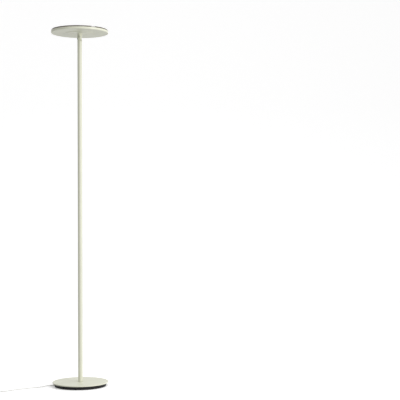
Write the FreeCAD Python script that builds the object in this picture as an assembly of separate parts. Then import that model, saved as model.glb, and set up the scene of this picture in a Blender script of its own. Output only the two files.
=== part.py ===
"""Torchiere floor lamp: disc base, straight pole, tilting flat LED head and a mains lead with a foot switch.

Millimetres. The origin is on the floor, on the pole's axis; +Z is up and the lead leaves towards -X.
"""
import FreeCAD, Part
import math
import os
from FreeCAD import Vector

os.makedirs("parts", exist_ok=True)

# Overall sizes
LAMP_HEIGHT = 1755.0
HEAD_RADIUS = 140.0
HEAD_THICK = 16.0
BASE_RADIUS = 136.5
BASE_HEIGHT = 21.5
POLE_RADIUS = 11.0
POLE_WALL = 1.2
POLE_SECTIONS = 3

# Base
RIM_HEIGHT = 5.0            # visible height of the cover's rim
COVER_WALL = 1.2
COVER_CORNER = 1.6
TRAY_RADIUS = 126.4
TRAY_WALL = 2.4
TRAY_FLOOR = 2.0
TRAY_GAP = 0.3              # between the tray's wall and the weight
TRAY_CORNER = 0.8
FOOT_STAND = 1.5            # how far the rubber feet stand below the tray
FOOT_SEAT = 0.5             # how far they are let into it
FOOT_EDGE = 0.4
FOOT_RADIUS = 8.0
FOOT_COUNT = 6
FOOT_CIRCLE = 112.0
WEIGHT_FIT = 1.0            # between the weight's flange and the cover's skirt
TRAY_SCREW_COUNT = 4
TRAY_SCREW_CIRCLE = 92.0
TRAY_SCREW_RADIUS = 2.0
TRAY_SCREW_LENGTH = 9.0

# Threaded tube and nut that hold the pole on the base
STUD_RADIUS = 5.0
STUD_BORE = 3.75
STUD_BELOW_NUT = 0.8
NUT_FLATS = 14.0
NUT_THICK = 4.5
LOCK_WASHER_THICK = 0.8
LOCK_WASHER_WIDTH = 3.0
LOCK_WASHER_SPLIT = 0.8
WASHER_RADIUS = 12.0
WASHER_THICK = 1.2
WEB_THICK = 5.0             # the weight above the washer
NUT_ROOM = 14.0             # radius of the recess around the nut
FOOT_PLUG_LENGTH = 20.0
STUD_IN_POLE = 16.0
COUPLING_LENGTH = 44.0
COUPLING_BORE = 6.5

# Driver in the base
EXIT_ANGLE = 8.0            # the lead's exit, turned from -X towards -Y
DRIVER_LENGTH = 78.0
DRIVER_WIDTH = 38.0
DRIVER_HEIGHT = 12.5
DRIVER_WALL = 1.5
DRIVER_PLATE = 1.2
DRIVER_INNER_END = 26.0     # from the pole's axis to the driver
DRIVER_GAP = 0.6
BOARD_THICK = 1.6
BOARD_RISE = 1.6            # board above the driver's plate
BOARD_GAP = 0.5             # around the board
RIB_THICK = 2.0
RIB_INSET = 8.0             # from the ends of the plate to its ribs
TRANSFORMER_SIZE = 18.0
TRANSFORMER_HEIGHT = 5.5
CAPACITORS = ((-20.0, 8.0, 3.5, 5.5), (-20.0, -8.0, 3.5, 5.5), (20.0, 9.0, 3.0, 5.0), (20.0, -9.0, 3.0, 5.0))
TERMINAL_AT = 30.0          # from the board's middle
TERMINAL_SIZE = (7.0, 12.0, 4.5)

# Leads
CORD_RADIUS = 2.75
LEAD_RADIUS = 1.75
CHANNEL_WIDTH = 8.0
RELIEF_LENGTH = 24.0
RELIEF_ROOT = 4.6
RELIEF_TIP = 3.2
RELIEF_FLANGE = 5.6
RELIEF_FLANGE_THICK = 2.0
EXIT_HEIGHT = 7.6
LEAD_HEIGHT = 6.0
LEAD_BEND = 6.0
LEAD_CLEARANCE = 0.15
HEAD_LEAD_BEND = 3.0
HEAD_LEAD_RISE = 0.2        # above the board

# Tilting knuckle
PIVOT_BELOW_HEAD = 26.0
SWING_GAP = 0.3
BARREL_LENGTH = 3.0
SPIGOT_LENGTH = 18.0
HALF_GAP = 0.3              # from the middle plane to each tongue's face
FRICTION_WASHER = 0.5
FRICTION_WASHER_FIT = 0.2
CHAMBER_RADIUS = 7.2
CHAMBER_DEPTH = 3.2
KNUCKLE_BORE = 4.8
LEAD_HOLE = 2.6             # in the head's plate and shell
LEAD_OFFSET = 2.3
LEAD_END_GAP = 5.0
PIVOT_RADIUS = 2.5
PIVOT_CLEARANCE = 0.08
PIVOT_HEAD_RADIUS = 4.75
PIVOT_HEAD_THICK = 2.6
PIVOT_HEAD_EDGE = 1.8
PIVOT_SEAT = 10.0           # spot face, from the pole's axis
SPOT_FACE_ROOM = 0.4        # around the screw's head
SPRING_WASHER = 0.6
SPRING_WASHER_INSET = 0.3   # smaller than the screw's head
SPRING_WASHER_GAP = 0.1
PIVOT_NUT_FLATS = 8.0
PIVOT_NUT_THICK = 4.0
PIVOT_NUT_AT = 4.6
CAP_RADIUS = 4.9
CAP_THICK = 1.3
CAP_EDGE = 0.5
HEX_KEY_FLATS = 3.0
HEX_KEY_DEPTH = 1.4

# Head
GLASS_THICK = 5.0
GLASS_INSET = 0.5
GLASS_BEVEL = 0.8
BOND_THICK = 0.4
SHELL_WALL = 1.0
SHELL_CORNER = 1.4
SEAT_WIDTH = 13.0
SEAT_THICK = 2.0
SEAT_SKIRT = 1.5
SEAT_FIT = 0.1
PLATE_RADIUS = 67.0
PLATE_THICK = 1.5
PLATE_EDGE = 0.6
PLATE_SCREW_CIRCLE = 61.0
PLATE_SCREW_COUNT = 4
PLATE_SCREW_RADIUS = 1.5
NECK_SCREW_SPREAD = 7.2
NECK_SCREW_RADIUS = 1.5
NECK_SCREW_LENGTH = 11.0
LED_BOARD_RADIUS = 66.0
LED_BOARD_BORE = 8.0
LED_BOARD_THICK = 1.6
PLATE_SCREW_ROOM = 1.0      # in the board
NECK_SCREW_ROOM = 0.5
LED_LENGTH = 3.5
LED_WIDTH = 2.8
LED_HEIGHT = 0.8
LED_RINGS = ((30.0, 10), (42.0, 16), (54.0, 22))
REFLECTOR_THICK = 0.5
REFLECTOR_GAP = 0.4
CONNECTOR_SIZE = (8.0, 6.0, 4.0)
CONNECTOR_AT = 17.0

# Foot switch
SWITCH_RIGHT = -418.0
SWITCH_LENGTH = 86.0
SWITCH_WIDTH = 50.0
SWITCH_HEIGHT = 22.0
SWITCH_SPLIT = 8.0
SWITCH_WALL = 2.0
SWITCH_CORNER = 14.0
SWITCH_EDGE = 3.5
SWITCH_FOOT_EDGE = 1.0
SWITCH_Y = -130.0
BUTTON_RADIUS = 17.0
BUTTON_GAP = 0.35
BUTTON_STAND = 5.0
BUTTON_WALL = 2.0
BUTTON_LIP = 2.0
BUTTON_LIP_THICK = 1.5
BUTTON_LIP_GAP = 0.3
BUTTON_TRAVEL = 3.0
BUTTON_EDGE = 2.5
BUTTON_STEM = 3.0
SWITCH_BLOCK = (26.0, 22.0, 9.5)
SPRING_RADIUS = 6.4
SPRING_WIRE = 0.8
SPRING_GAP = 0.1
SWITCH_SCREW_RADIUS = 1.5
SWITCH_SCREW_SPREAD = 31.0
SWITCH_SCREW_OFFSET = 12.0
SWITCH_SCREW_REACH = 5.0    # into the cover's posts
SWITCH_SCREW_DEEP = 7.0     # depth of the posts' holes
SWITCH_SCREW_SUNK = 0.6
SWITCH_SCREW_RECESS = 3.0
SWITCH_BOSS = 3.5

# Coil of spare lead, plug
COIL_X = -575.0
COIL_INNER = 19.25
COIL_OUTER = 41.25
COIL_HEIGHT = 11.0
COIL_EDGE = 2.7
TIE_WIDTH = 9.0
TIE_THICK = 0.9
TIE_SLACK = 0.6
PLUG_RELIEF_START = -530.0
PLUG_RELIEF_LENGTH = 24.0
PLUG_RELIEF_ROOT = 4.8
PLUG_LENGTH = 35.0
PLUG_WIDTH = 35.3
PLUG_THICK = 13.7
PLUG_NOSE = 25.6
PLUG_NECK = 14.0            # width where the sleeve starts
PLUG_SHOULDER = 12.0
PLUG_TAPER = 10.0
PLUG_CORNER = 3.0
PLUG_EDGE = 1.5
PLUG_RELIEF_SUNK = 2.0      # sleeve inside the body
PLUG_Y = -55.0
PIN_RADIUS = 2.0
PIN_LENGTH = 19.0
PIN_TIP = 1.2
PIN_SPACING = 18.6
PIN_ROOT = 6.0              # pin inside the body
PIN_ROOT_RADIUS = 1.4

# The lead's route on the floor, point by point: to the switch, on to the coil, and from the coil to the plug
CORD_TO_SWITCH = (
    (-148.94, -20.93, 7.6),
    (-165.0, -23.19, 7.6),
    (-190.0, -28.0, 3.2),
    (-230.0, -40.0, 2.75),
    (-273.0, -61.0, 2.75),
    (-312.0, -87.0, 2.75),
    (-345.0, -113.0, 2.75),
    (-376.0, -127.0, 3.6),
    (-404.0, -130.0, 8.0),
    (-426.0, -130.0, 8.0),
)
CORD_TO_COIL = (
    (-496.0, -130.0, 8.0),
    (-516.0, -130.0, 8.0),
    (-540.0, -131.0, 3.2),
    (-561.0, -130.2, 2.75),
)
CORD_TO_PLUG = (
    (-575.0, -53.2, 8.25),
    (-560.0, -53.0, 8.25),
    (-545.0, -54.6, 7.5),
    (-530.0, -55.0, 6.85),
)

# Levels and radii worked out from the sizes above
RIM_LOW = BASE_HEIGHT - RIM_HEIGHT
COVER_UNDER = BASE_HEIGHT - COVER_WALL
TRAY_TOP = FOOT_STAND + TRAY_FLOOR
WASHER_TOP = COVER_UNDER - WEB_THICK
WASHER_LOW = WASHER_TOP - WASHER_THICK
LOCK_LOW = WASHER_LOW - LOCK_WASHER_THICK
NUT_LOW = LOCK_LOW - NUT_THICK
STUD_LOW = NUT_LOW - STUD_BELOW_NUT
HEAD_LOW = LAMP_HEIGHT - HEAD_THICK
PIVOT_HEIGHT = HEAD_LOW - PIVOT_BELOW_HEAD
SHOULDER = PIVOT_HEIGHT - POLE_RADIUS - SWING_GAP
POLE_TOP = SHOULDER - BARREL_LENGTH
POLE_INSIDE = POLE_RADIUS - POLE_WALL
SECTION_LENGTH = (POLE_TOP - BASE_HEIGHT) / POLE_SECTIONS
DRIVER_OUTER_END = DRIVER_INNER_END + DRIVER_LENGTH
SHELL_FLOOR = HEAD_LOW + SHELL_WALL
GLASS_LOW = LAMP_HEIGHT - GLASS_THICK
SHELL_TOP = GLASS_LOW - BOND_THICK
PLATE_LOW = HEAD_LOW - PLATE_THICK
SEAT_INSIDE = HEAD_RADIUS - GLASS_INSET - SEAT_WIDTH
SWITCH_LEFT = SWITCH_RIGHT - SWITCH_LENGTH
SWITCH_X = SWITCH_RIGHT - SWITCH_LENGTH / 2
COIL_Y = CORD_TO_COIL[-1][1] + COIL_OUTER - CORD_RADIUS
Z_AXIS = Vector(0, 0, 1)
X_AXIS = Vector(1, 0, 0)


def save(shape, node):
    """Write one sub-part."""
    shape.exportStep("parts/" + node + ".step")


def disc(radius, low, high, x=0.0, y=0.0):
    """Upright cylinder between two levels."""
    return Part.makeCylinder(radius, high - low, Vector(x, y, low))


def ring(outer, inner, low, high, x=0.0, y=0.0):
    """Upright cylinder with a bore."""
    return disc(outer, low, high, x, y).cut(disc(inner, low - 1, high + 1, x, y))


def cone(radius_low, radius_high, low, high, x=0.0, y=0.0):
    """Upright cone, as under a countersunk head."""
    return Part.makeCone(radius_low, radius_high, high - low, Vector(x, y, low))


def rod(radius, start, end):
    """Cylinder from one point to another."""
    return Part.makeCylinder(radius, (end - start).Length, start, end - start)


def block(x, y, z):
    """Box from (low, high) pairs along each axis."""
    return Part.makeBox(x[1] - x[0], y[1] - y[0], z[1] - z[0], Vector(x[0], y[0], z[0]))


def hexagon(flats, low, high):
    """Upright hexagonal prism on the Z axis."""
    corners = []
    for i in range(7):
        turn = math.radians(60 * i)
        corners.append(Vector(math.cos(turn), math.sin(turn), 0) * flats / math.sqrt(3))
    prism = Part.Face(Part.makePolygon(corners)).extrude(Vector(0, 0, high - low))
    return prism.translated(Vector(0, 0, low))


def turned(shape, degrees, centre=Vector(0, 0, 0), axis=Z_AXIS):
    """Copy of a shape, turned about a point."""
    copy = shape.copy()
    copy.rotate(centre, axis, degrees)
    return copy


def along_x(shape, x, height):
    """Shape drawn up the Z axis, laid along +X at a height, its bottom at x."""
    return turned(shape, 90, axis=Vector(0, 1, 0)).translated(Vector(x, 0, height))


def around(count, radius, start=0.0):
    """Places on a circle, as x and y."""
    places = []
    for i in range(count):
        turn = math.radians(start + 360.0 * i / count)
        places.append((radius * math.cos(turn), radius * math.sin(turn)))
    return places


def edges_at(shape, height, radius=None):
    """Round edges at one level, of one radius if it is given."""
    found = []
    for edge in shape.Edges:
        box = edge.BoundBox
        level = abs(box.ZMin - height) < 1e-6 and abs(box.ZMax - height) < 1e-6
        if level and (radius is None or abs(box.XLength / 2 - radius) < 1e-3):
            found.append(edge)
    return found


def vertical_edges(shape):
    """Straight edges that run up Z."""
    found = []
    for edge in shape.Edges:
        if edge.BoundBox.XLength < 1e-6 and edge.BoundBox.YLength < 1e-6:
            found.append(edge)
    return found


def route_edges(points, name):
    """Straight runs joined by tangent arcs, each arc as large as its two runs allow."""
    corners = [Vector(*point) for point in points]
    pieces = []
    start = corners[0]
    for before, corner, after in zip(corners, corners[1:], corners[2:]):
        back = before - corner
        ahead = after - corner
        reach = 0.45 * min(back.Length, ahead.Length)
        half_turn = (math.pi - back.getAngle(ahead)) / 2
        radius = reach / math.tan(half_turn)
        print("%s: bend radius %.1f" % (name, radius))
        back.normalize()
        ahead.normalize()
        enter = corner + back * reach
        leave = corner + ahead * reach
        inward = back + ahead
        inward.normalize()
        middle = corner + inward * (radius / math.cos(half_turn) - radius)
        pieces.append(Part.LineSegment(start, enter).toShape())
        pieces.append(Part.Arc(enter, middle, leave).toShape())
        start = leave
    pieces.append(Part.LineSegment(start, corners[-1]).toShape())
    return pieces


def tube(points, radius, name):
    """Round lead along a route."""
    path = Part.Wire(route_edges(points, name))
    start = Vector(*points[0])
    outline = Part.Wire(Part.makeCircle(radius, start, Vector(*points[1]) - start))
    solid = path.makePipeShell([outline], True, False)
    wanted = math.pi * radius ** 2 * path.Length
    share = solid.Volume / wanted
    print("%s: length %.1f, volume %.4f of its section times its length" % (name, path.Length, share))
    return solid


def countersunk_screw(radius, length, head_level, x, y, up=True):
    """Countersunk screw with a cross recess; its head's flat face is at head_level, its shank beyond it."""
    head = cone(2 * radius, radius, 0, radius)
    shank = disc(radius, radius, length)
    slot_one = block((-1.4 * radius, 1.4 * radius), (-0.2 * radius, 0.2 * radius), (-1, 0.5 * radius))
    screw = head.fuse(shank).cut(slot_one).cut(turned(slot_one, 90))
    if not up:
        screw = turned(screw, 180, axis=X_AXIS)
    return screw.translated(Vector(x, y, head_level))


def screw_hole(radius, length, head_level, x, y, up=True):
    """Room for the same screw."""
    hole = cone(2 * radius, radius, 0, radius).fuse(disc(radius, 0, length))
    if not up:
        hole = turned(hole, 180, axis=X_AXIS)
    return hole.translated(Vector(x, y, head_level))


# Base

def base_cover():
    """Pressed steel plate with a turned-down rim."""
    shell = disc(BASE_RADIUS, RIM_LOW, BASE_HEIGHT)
    shell = shell.makeFillet(COVER_CORNER, edges_at(shell, BASE_HEIGHT, BASE_RADIUS))
    inside = disc(BASE_RADIUS - COVER_WALL, RIM_LOW - 1, COVER_UNDER)
    bore = disc(STUD_RADIUS, RIM_LOW, BASE_HEIGHT + 1)
    return shell.cut(inside).cut(bore)


def driver_pocket():
    """Room for the driver in the weight."""
    width = DRIVER_WIDTH / 2 + DRIVER_GAP
    room = block((-DRIVER_OUTER_END - DRIVER_GAP, -DRIVER_INNER_END + DRIVER_GAP), (-width, width),
                 (TRAY_TOP - 1, TRAY_TOP + DRIVER_HEIGHT + DRIVER_GAP))
    return turned(room, EXIT_ANGLE)


def lead_channel():
    """Slot from the weight's edge to its middle, for the leads."""
    slot = block((-TRAY_RADIUS, 0), (-CHANNEL_WIDTH / 2, CHANNEL_WIDTH / 2),
                 (TRAY_TOP - 1, EXIT_HEIGHT + CHANNEL_WIDTH / 2))
    return turned(slot, EXIT_ANGLE)


def relief_room():
    """Room for the strain relief's flange at the weight's edge."""
    inner = TRAY_RADIUS - TRAY_WALL - RELIEF_FLANGE_THICK - 1
    half = RELIEF_FLANGE + 1
    room = block((-TRAY_RADIUS, -inner), (-half, half), (TRAY_TOP - 1, RIM_LOW))
    return turned(room, EXIT_ANGLE)


def base_weight():
    """Cast-iron disc with a flange under the cover."""
    flange = disc(BASE_RADIUS - COVER_WALL - WEIGHT_FIT, RIM_LOW, COVER_UNDER)
    body = disc(TRAY_RADIUS - TRAY_WALL - TRAY_GAP, TRAY_TOP, RIM_LOW)
    weight = flange.fuse(body)
    for cutter in (driver_pocket(), lead_channel(), relief_room(),
                   disc(NUT_ROOM, TRAY_TOP - 1, WASHER_TOP),
                   disc(STUD_RADIUS, TRAY_TOP, COVER_UNDER + 1)):
        weight = weight.cut(cutter)
    for x, y in around(TRAY_SCREW_COUNT, TRAY_SCREW_CIRCLE, 45 + EXIT_ANGLE):
        weight = weight.cut(screw_hole(TRAY_SCREW_RADIUS, TRAY_SCREW_LENGTH, FOOT_STAND, x, y))
    return weight.removeSplitter()


def base_tray():
    """Black moulded tray that closes the base and makes its dark foot ring."""
    tray = disc(TRAY_RADIUS, FOOT_STAND, RIM_LOW).cut(disc(TRAY_RADIUS - TRAY_WALL, TRAY_TOP, RIM_LOW + 1))
    tray = tray.makeFillet(TRAY_CORNER, edges_at(tray, FOOT_STAND, TRAY_RADIUS))
    outside = Vector(-TRAY_RADIUS - 1, 0, EXIT_HEIGHT)
    hole = rod(RELIEF_ROOT, outside, outside + X_AXIS * (TRAY_WALL + 2))
    tray = tray.cut(turned(hole, EXIT_ANGLE))
    for x, y in around(FOOT_COUNT, FOOT_CIRCLE, EXIT_ANGLE):
        tray = tray.cut(disc(FOOT_RADIUS, 0, FOOT_STAND + FOOT_SEAT, x, y))
    for x, y in around(TRAY_SCREW_COUNT, TRAY_SCREW_CIRCLE, 45 + EXIT_ANGLE):
        tray = tray.cut(screw_hole(TRAY_SCREW_RADIUS, TRAY_SCREW_LENGTH, FOOT_STAND, x, y))
    return tray


def tray_screws():
    """Countersunk screws from below."""
    screws = []
    for x, y in around(TRAY_SCREW_COUNT, TRAY_SCREW_CIRCLE, 45 + EXIT_ANGLE):
        screws.append(countersunk_screw(TRAY_SCREW_RADIUS, TRAY_SCREW_LENGTH, FOOT_STAND, x, y))
    return Part.makeCompound(screws)


def rubber_feet():
    """Round pads let into the tray."""
    feet = []
    for x, y in around(FOOT_COUNT, FOOT_CIRCLE, EXIT_ANGLE):
        foot = disc(FOOT_RADIUS, 0, FOOT_STAND + FOOT_SEAT, x, y)
        feet.append(foot.makeFillet(FOOT_EDGE, edges_at(foot, 0)))
    return Part.makeCompound(feet)


def strain_relief():
    """Tapered sleeve moulded on the lead, with a flange behind the tray's wall."""
    inner = TRAY_RADIUS - TRAY_WALL
    flange = disc(RELIEF_FLANGE, 0, RELIEF_FLANGE_THICK)
    neck = disc(RELIEF_ROOT, RELIEF_FLANGE_THICK, RELIEF_FLANGE_THICK + TRAY_WALL)
    sleeve = cone(RELIEF_ROOT, RELIEF_TIP, RELIEF_FLANGE_THICK + TRAY_WALL,
                  RELIEF_FLANGE_THICK + TRAY_WALL + RELIEF_LENGTH)
    relief = flange.fuse(neck).fuse(sleeve)
    laid = along_x(relief, inner - RELIEF_FLANGE_THICK, EXIT_HEIGHT)
    return turned(laid, 180 + EXIT_ANGLE)


def mains_lead_inner():
    """Mains lead inside the base, from the strain relief to the driver."""
    outer = TRAY_RADIUS - TRAY_WALL - RELIEF_FLANGE_THICK
    lead = rod(CORD_RADIUS, Vector(-outer, 0, EXIT_HEIGHT), Vector(-DRIVER_OUTER_END, 0, EXIT_HEIGHT))
    return turned(lead, EXIT_ANGLE)


def driver_block(inset, low, high):
    """Box inside the driver's outline, between two heights above the tray's floor."""
    half = DRIVER_WIDTH / 2 - inset
    along = (-DRIVER_OUTER_END + inset, -DRIVER_INNER_END - inset)
    return block(along, (-half, half), (TRAY_TOP + low, TRAY_TOP + high))


def driver_case():
    """Moulded cover of the driver."""
    case = driver_block(0, DRIVER_PLATE, DRIVER_HEIGHT)
    case = case.cut(driver_block(DRIVER_WALL, 0, DRIVER_HEIGHT - DRIVER_WALL))
    return turned(case, EXIT_ANGLE)


def driver_plate():
    """Bottom plate of the driver, with two ribs under its board."""
    plate = driver_block(0, 0, DRIVER_PLATE)
    for side in (-1, 1):
        middle = side * DRIVER_WIDTH / 4
        rib = block((-DRIVER_OUTER_END + RIB_INSET, -DRIVER_INNER_END - RIB_INSET),
                    (middle - RIB_THICK / 2, middle + RIB_THICK / 2),
                    (TRAY_TOP + DRIVER_PLATE, TRAY_TOP + DRIVER_PLATE + BOARD_RISE))
        plate = plate.fuse(rib)
    return turned(plate, EXIT_ANGLE)


def driver_board():
    """Circuit board with its transformer, capacitors and terminals."""
    low = DRIVER_PLATE + BOARD_RISE
    board = driver_block(DRIVER_WALL + BOARD_GAP, low, low + BOARD_THICK)
    top = TRAY_TOP + low + BOARD_THICK
    middle = -(DRIVER_INNER_END + DRIVER_OUTER_END) / 2
    half = TRANSFORMER_SIZE / 2
    transformer = block((middle - half, middle + half), (-half, half), (top, top + TRANSFORMER_HEIGHT))
    board = board.fuse(transformer)
    for x, y, radius, height in CAPACITORS:
        board = board.fuse(disc(radius, top, top + height, middle + x, y))
    length, width, height = TERMINAL_SIZE
    for x in (middle - TERMINAL_AT, middle + TERMINAL_AT):
        terminal = block((x - length / 2, x + length / 2), (-width / 2, width / 2), (top, top + height))
        board = board.fuse(terminal)
    return turned(board, EXIT_ANGLE)


def base_stud():
    """Hollow threaded tube through the base into the pole."""
    return ring(STUD_RADIUS, STUD_BORE, STUD_LOW, BASE_HEIGHT + STUD_IN_POLE)


def base_nut():
    """Thin nut on the stud."""
    return hexagon(NUT_FLATS, NUT_LOW, LOCK_LOW).cut(disc(STUD_RADIUS, NUT_LOW - 1, LOCK_LOW + 1))


def base_lock_washer():
    """Split lock washer."""
    outer = STUD_RADIUS + LOCK_WASHER_WIDTH
    split = LOCK_WASHER_SPLIT / 2
    washer = ring(outer, STUD_RADIUS, LOCK_LOW, WASHER_LOW)
    return washer.cut(block((0, outer + 1), (-split, split), (LOCK_LOW - 1, WASHER_LOW + 1)))


def base_washer():
    """Plain washer that spreads the nut's load."""
    return ring(WASHER_RADIUS, STUD_RADIUS, WASHER_LOW, WASHER_TOP)


# Pole

def pole_foot():
    """Threaded plug pressed into the foot of the pole."""
    return ring(POLE_INSIDE, STUD_RADIUS, BASE_HEIGHT, BASE_HEIGHT + FOOT_PLUG_LENGTH)


def pole_section(index):
    """One length of painted tube."""
    low = BASE_HEIGHT + index * SECTION_LENGTH
    return ring(POLE_RADIUS, POLE_INSIDE, low, low + SECTION_LENGTH)


def pole_coupling(index):
    """Threaded sleeve inside a joint between two lengths."""
    middle = BASE_HEIGHT + index * SECTION_LENGTH
    return ring(POLE_INSIDE, COUPLING_BORE, middle - COUPLING_LENGTH / 2, middle + COUPLING_LENGTH / 2)


def pole_lead():
    """Low-voltage lead from the driver up the pole to the knuckle."""
    turn = math.radians(EXIT_ANGLE)
    away = Vector(-math.cos(turn), -math.sin(turn), 0)
    bend_out = away * LEAD_BEND + Vector(0, 0, LEAD_HEIGHT)
    bend_up = Vector(0, 0, LEAD_HEIGHT + LEAD_BEND)
    inside = LEAD_BEND * (1 - math.sqrt(0.5))
    bend_middle = away * inside + Vector(0, 0, LEAD_HEIGHT + inside)
    knuckle_foot = Vector(-LEAD_OFFSET, 0, POLE_TOP - SPIGOT_LENGTH)
    path = Part.Wire([
        Part.LineSegment(away * DRIVER_INNER_END + Vector(0, 0, LEAD_HEIGHT), bend_out).toShape(),
        Part.Arc(bend_out, bend_middle, bend_up).toShape(),
        Part.LineSegment(bend_up, Vector(0, 0, BASE_HEIGHT + STUD_IN_POLE)).toShape(),
        Part.LineSegment(Vector(0, 0, BASE_HEIGHT + STUD_IN_POLE), knuckle_foot).toShape(),
        Part.LineSegment(knuckle_foot, Vector(-LEAD_OFFSET, 0, PIVOT_HEIGHT - LEAD_END_GAP)).toShape(),
    ])
    outline = Part.Wire(Part.makeCircle(LEAD_RADIUS, away * DRIVER_INNER_END + Vector(0, 0, LEAD_HEIGHT), away))
    return path.makePipeShell([outline], True, False, 1)


# Knuckle

def tongue():
    """Half-round tongue on the -X side with its end rounded about the pivot, as on the lower half."""
    top = PIVOT_HEIGHT + 2 * POLE_RADIUS
    across = (-2 * POLE_RADIUS, 2 * POLE_RADIUS)
    pivot = Vector(0, 0, PIVOT_HEIGHT)
    outside = Vector(-2 * POLE_RADIUS, 0, PIVOT_HEIGHT)
    half = disc(POLE_RADIUS, POLE_TOP, top)
    half = half.cut(block((-HALF_GAP, 2 * POLE_RADIUS), across, (SHOULDER, top + 1)))
    round_end = rod(POLE_RADIUS, outside, pivot + X_AXIS * POLE_RADIUS)
    half = half.cut(block(across, across, (PIVOT_HEIGHT, top + 1)).cut(round_end))
    chamber = rod(CHAMBER_RADIUS, pivot - X_AXIS * (HALF_GAP + CHAMBER_DEPTH), pivot + X_AXIS)
    lead_way = disc(LEAD_RADIUS + LEAD_CLEARANCE, POLE_TOP - SPIGOT_LENGTH, PIVOT_HEIGHT, -LEAD_OFFSET)
    bore = rod(PIVOT_RADIUS + PIVOT_CLEARANCE, outside, pivot)
    return half.cut(chamber).cut(lead_way).cut(bore)


def knuckle_lower():
    """Lower half: spigot in the pole, short barrel, tongue with a spot face for the screw."""
    spigot = disc(POLE_INSIDE, POLE_TOP - SPIGOT_LENGTH, POLE_TOP)
    lower = tongue().fuse(spigot)
    lower = lower.cut(disc(KNUCKLE_BORE, POLE_TOP - SPIGOT_LENGTH - 1, POLE_TOP))
    room = PIVOT_HEAD_RADIUS + SPOT_FACE_ROOM
    face = block((-2 * POLE_RADIUS, -PIVOT_SEAT), (-POLE_RADIUS, POLE_RADIUS),
                 (PIVOT_HEIGHT - room, PIVOT_HEIGHT + room))
    return lower.cut(face).removeSplitter()


def neck_screw_rooms():
    """Room for the two screws that hold the head on the knuckle's neck."""
    rooms = []
    for y in (-NECK_SCREW_SPREAD, NECK_SCREW_SPREAD):
        rooms.append(screw_hole(NECK_SCREW_RADIUS, NECK_SCREW_LENGTH, SHELL_FLOOR, 0, y, False))
    return rooms


def knuckle_upper():
    """Upper half: the same tongue turned over, a neck to the head's plate, a pocket for the nut and its cap."""
    upper = turned(tongue(), 180, Vector(0, 0, PIVOT_HEIGHT), Vector(0, 1, 0))
    neck = disc(POLE_RADIUS, PIVOT_HEIGHT + POLE_RADIUS + SWING_GAP, PLATE_LOW)
    upper = upper.common(disc(2 * POLE_RADIUS, PIVOT_HEIGHT - 2 * POLE_RADIUS, PLATE_LOW)).fuse(neck)
    upper = upper.cut(disc(LEAD_RADIUS + LEAD_CLEARANCE, PIVOT_HEIGHT, PLATE_LOW + 1, LEAD_OFFSET))
    pocket = along_x(turned(hexagon(PIVOT_NUT_FLATS, 0, PIVOT_NUT_THICK), 30), PIVOT_NUT_AT, PIVOT_HEIGHT)
    cap_seat = Vector(PIVOT_NUT_AT + PIVOT_NUT_THICK, 0, PIVOT_HEIGHT)
    cap_room = rod(CAP_RADIUS, cap_seat, Vector(2 * POLE_RADIUS, 0, PIVOT_HEIGHT))
    upper = upper.cut(pocket).cut(cap_room)
    for room in neck_screw_rooms():
        upper = upper.cut(room)
    return upper.removeSplitter()


def friction_washer():
    """Thin fibre ring between the tongues, fixed to the lower one."""
    outer = POLE_RADIUS - FRICTION_WASHER_FIT
    washer = ring(outer, CHAMBER_RADIUS + FRICTION_WASHER_FIT, 0, FRICTION_WASHER)
    return along_x(washer, -HALF_GAP, PIVOT_HEIGHT)


def pivot_screw():
    """Button-head screw from the -X side into the nut in the upper half."""
    shank = disc(PIVOT_RADIUS, 0, PIVOT_SEAT + SPRING_WASHER + PIVOT_NUT_AT + PIVOT_NUT_THICK)
    head = disc(PIVOT_HEAD_RADIUS, -PIVOT_HEAD_THICK, 0)
    head = head.makeFillet(PIVOT_HEAD_EDGE, edges_at(head, -PIVOT_HEAD_THICK))
    key = hexagon(HEX_KEY_FLATS, -PIVOT_HEAD_THICK - 1, -PIVOT_HEAD_THICK + HEX_KEY_DEPTH)
    return along_x(shank.fuse(head).cut(key), -PIVOT_SEAT - SPRING_WASHER, PIVOT_HEIGHT)


def spring_washer():
    """Spring washer under the screw's head, with a running gap to the lower half."""
    outer = PIVOT_HEAD_RADIUS - SPRING_WASHER_INSET
    washer = ring(outer, PIVOT_RADIUS, 0, SPRING_WASHER - SPRING_WASHER_GAP)
    return along_x(washer, -PIVOT_SEAT - SPRING_WASHER, PIVOT_HEIGHT)


def pivot_nut():
    """Lock nut held in the upper half."""
    nut = turned(hexagon(PIVOT_NUT_FLATS, 0, PIVOT_NUT_THICK), 30)
    nut = nut.cut(disc(PIVOT_RADIUS, -1, PIVOT_NUT_THICK + 1))
    return along_x(nut, PIVOT_NUT_AT, PIVOT_HEIGHT)


def pivot_cap():
    """Plastic cap over the nut."""
    cap = disc(CAP_RADIUS, 0, CAP_THICK)
    cap = cap.makeFillet(CAP_EDGE, edges_at(cap, CAP_THICK))
    return along_x(cap, PIVOT_NUT_AT + PIVOT_NUT_THICK, PIVOT_HEIGHT)


# Head

def plate_screw_places():
    """Where the screws of the round plate are."""
    return around(PLATE_SCREW_COUNT, PLATE_SCREW_CIRCLE)


def head_plate():
    """Round plate under the head that carries the knuckle."""
    plate = disc(PLATE_RADIUS, PLATE_LOW, HEAD_LOW)
    plate = plate.makeFillet(PLATE_EDGE, edges_at(plate, PLATE_LOW))
    plate = plate.cut(disc(LEAD_HOLE, PLATE_LOW - 1, HEAD_LOW + 1, LEAD_OFFSET))
    for x, y in plate_screw_places():
        plate = plate.cut(screw_hole(PLATE_SCREW_RADIUS, PLATE_THICK + 1, PLATE_LOW, x, y))
    for room in neck_screw_rooms():
        plate = plate.cut(room)
    return plate


def plate_screws():
    """Countersunk screws that hold the round plate to the shell."""
    length = PLATE_THICK + SHELL_WALL
    screws = [countersunk_screw(PLATE_SCREW_RADIUS, length, PLATE_LOW, x, y) for x, y in plate_screw_places()]
    return Part.makeCompound(screws)


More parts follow.
